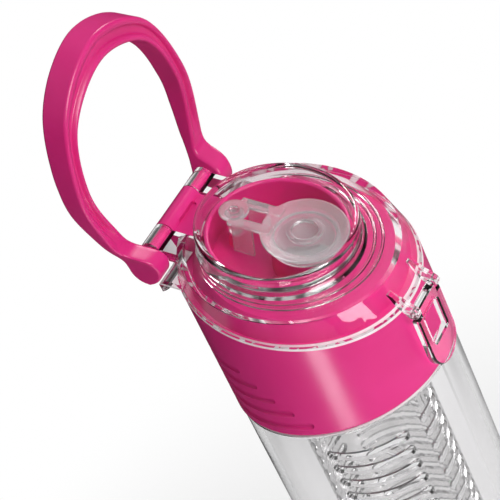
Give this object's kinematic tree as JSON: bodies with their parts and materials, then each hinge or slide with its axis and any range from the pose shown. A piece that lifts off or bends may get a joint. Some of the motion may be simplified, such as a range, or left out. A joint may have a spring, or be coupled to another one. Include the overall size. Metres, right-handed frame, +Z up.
{
  "type": "fruit infuser water bottle",
  "caption": "Clear plastic fruit infuser bottle with a sloped screw cap, flip lid, latch clip, carry loop and slotted infuser tube.",
  "frame": {"origin": "centre of the bottle's foot, on the plane that it stands on", "axes": "+Z up along the bottle; +X towards the latch clip at the front; the lid and handle hinge runs along Y at -X"},
  "size_m": [0.0888, 0.0742, 0.32],
  "materials": {
    "clear_copolyester": "clear gloss",
    "pink_polypropylene": "gloss",
    "frosted_polypropylene": "satin",
    "clear_silicone": "translucent satin"
  },
  "bodies": {
    "bottle": {"bottle_body": "clear_copolyester"},
    "gasket": {"cap_gasket": "clear_silicone"},
    "cap": {"screw_collar": "pink_polypropylene", "basket_carrier": "frosted_polypropylene"},
    "basket": {"infuser_basket": "clear_copolyester"},
    "end_cap": {"basket_end_cap": "clear_copolyester"},
    "lid": {"flip_lid": "clear_copolyester", "lid_seal": "clear_silicone"},
    "clip": {"latch_clip": "clear_copolyester"},
    "handle": {"carry_handle": "pink_polypropylene"}
  },
  "joints": [
    {"name": "cap_lift", "type": "slide", "parent": "bottle", "child": "gasket", "axis": [0, 0, 1], "range_m": [0, 0.006]},
    {"name": "cap_turn", "type": "hinge", "parent": "gasket", "child": "cap", "pos_m": [0, 0, 0.1954], "axis": [0, 0, 1], "range_deg": [0, 540]},
    {"name": "basket_pull", "type": "slide", "parent": "cap", "child": "basket", "axis": [0, 0, -1], "range_m": [0, 0.012]},
    {"name": "end_cap_pull", "type": "slide", "parent": "basket", "child": "end_cap", "axis": [0, 0, -1], "range_m": [0, 0.008]},
    {"name": "lid_hinge", "type": "hinge", "parent": "cap", "child": "lid", "pos_m": [-0.0378, 0, 0.254], "axis": [0, -1, 0], "range_deg": [0, 95]},
    {"name": "clip_hinge", "type": "hinge", "parent": "lid", "child": "clip", "pos_m": [0.0396, 0, 0.2226], "axis": [0, -1, 0], "range_deg": [0, 70]},
    {"name": "handle_hinge", "type": "hinge", "parent": "cap", "child": "handle", "pos_m": [-0.0378, 0, 0.254], "axis": [0, -1, 0], "range_deg": [-95, 130]}
  ],
  "couplings": [
    {"joint": "cap_turn", "follows": "cap_lift", "rad_per_m": 1570.8}
  ]
}
